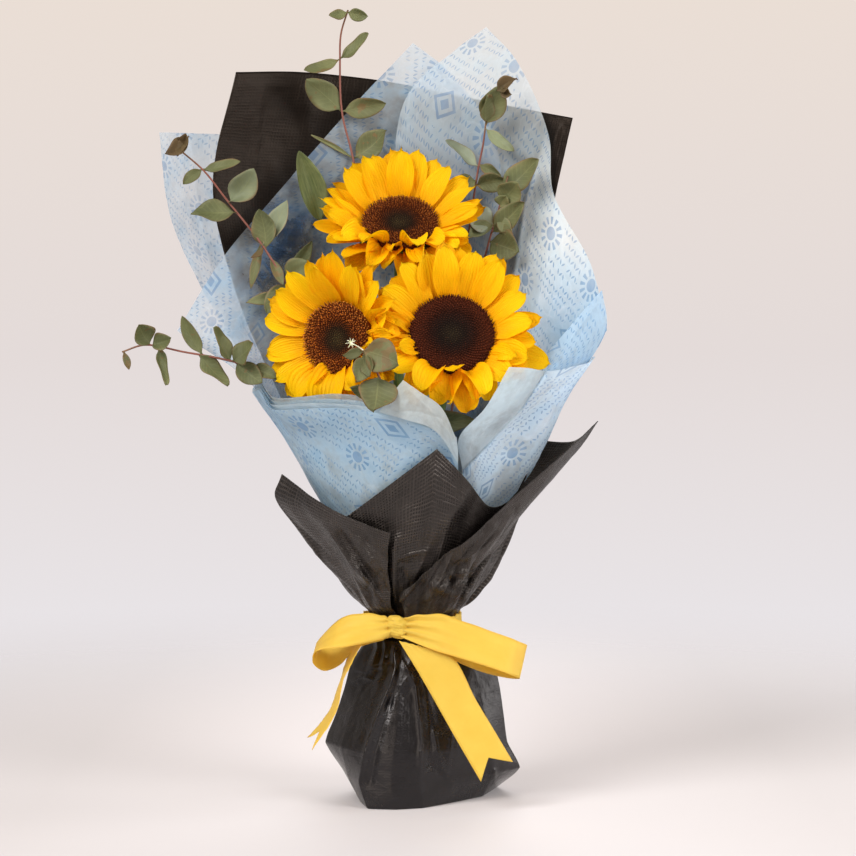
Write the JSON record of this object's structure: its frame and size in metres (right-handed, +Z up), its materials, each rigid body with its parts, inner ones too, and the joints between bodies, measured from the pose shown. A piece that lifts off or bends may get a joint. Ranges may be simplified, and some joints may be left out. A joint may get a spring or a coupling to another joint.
{
  "type": "wrapped bunch of sunflowers",
  "caption": "Hand-tied bunch of sunflowers with eucalyptus, in pale blue tissue and a dark embossed wrap, tied with a yellow ribbon and standing on its wrapped foot.",
  "frame": {"origin": "centre of the flat underside of the wrapped foot", "axes": "+Z up along the bunch, +X to the viewer's right, -Y towards the viewer (the flowers' side)"},
  "size_m": [0.3461, 0.1999, 0.5743],
  "materials": {
    "wrap": "satin, fine linen emboss",
    "tissue": null,
    "ribbon": "satin ribbon",
    "petal": "soft velvety petal",
    "disc": "matt packed florets",
    "green": "hairy green stem and bract",
    "eucalyptus": "waxy grey-green leaf",
    "rubber": "matt"
  },
  "bodies": {
    "root": {"wrap_back_sheet": "wrap", "wrap_front_flap": "wrap", "wrap_left_wing": "wrap", "wrap_right_wing": "wrap", "wrap_foot": "wrap", "tissue_back_left": "tissue", "tissue_back_right": "tissue", "tissue_outer_left": "tissue", "tissue_front_left": "tissue", "tissue_lapel": "tissue", "tissue_front_right": "tissue", "tissue_pocket": "tissue", "ribbon_band": "ribbon", "ribbon_knot": "ribbon", "ribbon_loop_left": "ribbon", "ribbon_loop_right": "ribbon", "ribbon_tail_right": "ribbon", "ribbon_tail_left": "ribbon", "sunflower_top_petals": "petal", "sunflower_left_petals": "petal", "sunflower_right_petals": "petal", "sunflower_top_disc": "disc", "sunflower_left_disc": "disc", "sunflower_right_disc": "disc", "sunflower_top_calyx": "green", "sunflower_left_calyx": "green", "sunflower_right_calyx": "green", "sunflower_top_stem": "green", "sunflower_left_stem": "green", "sunflower_right_stem": "green", "sunflower_leaf": "green", "eucalyptus_top": "eucalyptus", "eucalyptus_right": "eucalyptus", "eucalyptus_right_low": "eucalyptus", "eucalyptus_left": "eucalyptus", "eucalyptus_left_low": "eucalyptus", "eucalyptus_front": "eucalyptus", "stem_band": "rubber"}
  },
  "joints": []
}
